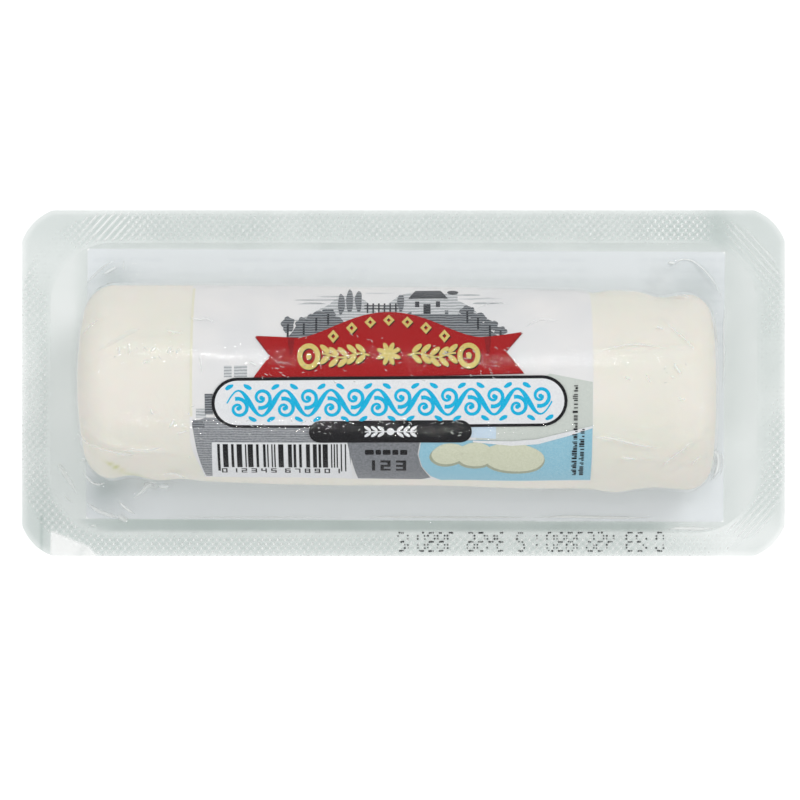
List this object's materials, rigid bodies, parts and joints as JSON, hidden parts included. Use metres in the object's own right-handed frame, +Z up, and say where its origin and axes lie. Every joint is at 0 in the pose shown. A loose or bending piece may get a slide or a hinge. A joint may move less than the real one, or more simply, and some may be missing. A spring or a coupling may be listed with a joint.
{
  "type": "cow milk cheese log",
  "caption": "Log of fresh cow milk cheese, vacuum packed: formed clear film over a flat base film, printed sheet over the middle, paper label underneath.",
  "frame": {"origin": "under the middle of the pack, at the plane it rests on", "axes": "+X along the log, +Y across it towards the side where the print's top is, +Z up"},
  "size_m": [0.135, 0.0612, 0.0342],
  "materials": {
    "cheese": "soft moist satin",
    "printed_sheet": "satin printed film",
    "formed_clear_film": "clear gloss",
    "base_clear_film": "clear gloss",
    "label_paper": "coated paper"
  },
  "bodies": {
    "root": {"cheese_log": "cheese", "printed_label": "printed_sheet", "formed_film": "formed_clear_film", "base_film": "base_clear_film", "paper_label": "label_paper"}
  },
  "joints": []
}
